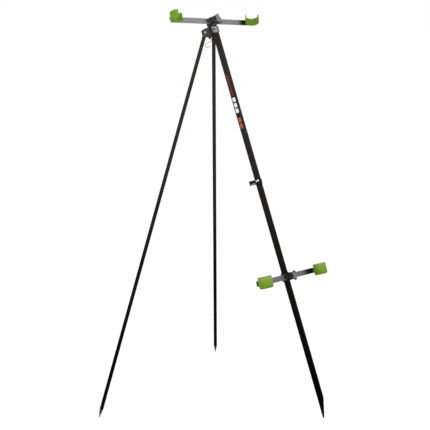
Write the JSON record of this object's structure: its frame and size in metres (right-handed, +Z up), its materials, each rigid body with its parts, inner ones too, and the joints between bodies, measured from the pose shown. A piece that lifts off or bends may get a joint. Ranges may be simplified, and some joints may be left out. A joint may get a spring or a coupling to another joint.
{
  "type": "surf rod tripod",
  "caption": "Tripod rod stand for surf fishing, with open rod rests on a turning head bar, butt cups on a sliding lower bar and thin legs that fold onto the main leg",
  "frame": {"origin": "on the ground, at the middle of the footprint's bounding box", "axes": "+Z up; the main leg points towards -Y, the two thin legs towards +Y, the bars run along X; right is +X"},
  "size_m": [1.08, 0.9354, 1.9268],
  "materials": {
    "black_anodised": "black anodised, satin",
    "black_coated": "black powder coat, satin",
    "black_plastic": "black moulded, satin",
    "silver_anodised": "silver anodised, satin",
    "bright_aluminium": "bare, fine brushed",
    "zinc": "zinc plated",
    "lime_plastic": "lime green moulded, semi-gloss",
    "strap_fabric": "black woven hook and loop tape"
  },
  "bodies": {
    "main_leg": {"main_leg_tube": "black_anodised", "head_sleeve": "bright_aluminium", "sleeve_screw": "black_coated", "head_lug": "black_plastic", "head_bracket": "black_coated", "bracket_screw_upper": "black_coated", "bracket_screw_lower": "black_coated", "head_bolt": "zinc", "leg_strap": "strap_fabric", "left_pivot_bolt": "zinc", "left_pivot_nut": "zinc", "right_pivot_bolt": "zinc", "right_pivot_nut": "zinc"},
    "left_leg": {"left_leg_tube": "black_anodised", "left_leg_spike": "black_plastic", "left_leg_plug": "black_plastic", "left_leg_bush": "silver_anodised"},
    "right_leg": {"right_leg_tube": "black_anodised", "right_leg_spike": "black_plastic", "right_leg_plug": "black_plastic", "right_leg_bush": "silver_anodised"},
    "head_bar": {"head_turn_plate": "black_coated", "head_bar": "silver_anodised", "head_bar_screw_left": "black_coated", "head_bar_screw_right": "black_coated", "head_clamp_disc": "black_plastic", "head_washer": "zinc", "left_rod_rest": "lime_plastic", "left_rest_screw": "zinc", "left_rest_nut": "zinc", "right_rod_rest": "lime_plastic", "right_rest_screw": "zinc", "right_rest_nut": "zinc"},
    "head_knob": {"head_star_knob": "silver_anodised"},
    "butt_bar": {"butt_turn_plate": "black_coated", "butt_bar": "silver_anodised", "butt_bar_screw_left": "black_coated", "butt_bar_screw_right": "black_coated", "butt_clamp_disc": "black_plastic", "butt_washer": "zinc", "left_butt_cup": "lime_plastic", "left_cup_screw": "zinc", "left_cup_nut": "zinc", "right_butt_cup": "lime_plastic", "right_cup_screw": "zinc", "right_cup_nut": "zinc"},
    "butt_knob": {"butt_star_knob": "silver_anodised"},
    "butt_clamp": {"butt_clamp": "black_coated", "butt_pressure_pad": "black_plastic", "butt_bolt": "zinc"},
    "hook": {"s_hook": "zinc"}
  },
  "joints": [
    {"name": "left_leg_fold", "type": "hinge", "parent": "main_leg", "child": "left_leg", "pos_m": [-0.0378, 0.15541, 1.81068], "axis": [0.8659, 0.4745, -0.1583], "range_deg": [-31.75, 0]},
    {"name": "right_leg_fold", "type": "hinge", "parent": "main_leg", "child": "right_leg", "pos_m": [0.0378, 0.15541, 1.81068], "axis": [0.8659, -0.4745, 0.1583], "range_deg": [-31.75, 0]},
    {"name": "head_bar_turn", "type": "hinge", "parent": "main_leg", "child": "head_bar", "pos_m": [0, 0.14284, 1.86464], "axis": [0, -0.9486, 0.3165], "range_deg": [-17, 17]},
    {"name": "head_knob_turn", "type": "hinge", "parent": "main_leg", "child": "head_knob", "pos_m": [0, 0.14284, 1.86464], "axis": [0, -0.9486, 0.3165], "continuous": true},
    {"name": "butt_clamp_slide", "type": "slide", "parent": "main_leg", "child": "butt_clamp", "axis": [0, 0.3165, 0.9486], "range_m": [-0.55, 0.43]},
    {"name": "butt_bar_turn", "type": "hinge", "parent": "butt_clamp", "child": "butt_bar", "pos_m": [0, -0.27521, 0.67636], "axis": [0, -0.9486, 0.3165], "range_deg": [-90, 90]},
    {"name": "butt_knob_turn", "type": "hinge", "parent": "butt_clamp", "child": "butt_knob", "pos_m": [0, -0.27521, 0.67636], "axis": [0, -0.9486, 0.3165], "continuous": true},
    {"name": "hook_swing", "type": "hinge", "parent": "main_leg", "child": "hook", "pos_m": [0, 0.15326, 1.78526], "axis": [1, 0, 0], "range_deg": [-30, 8]}
  ]
}
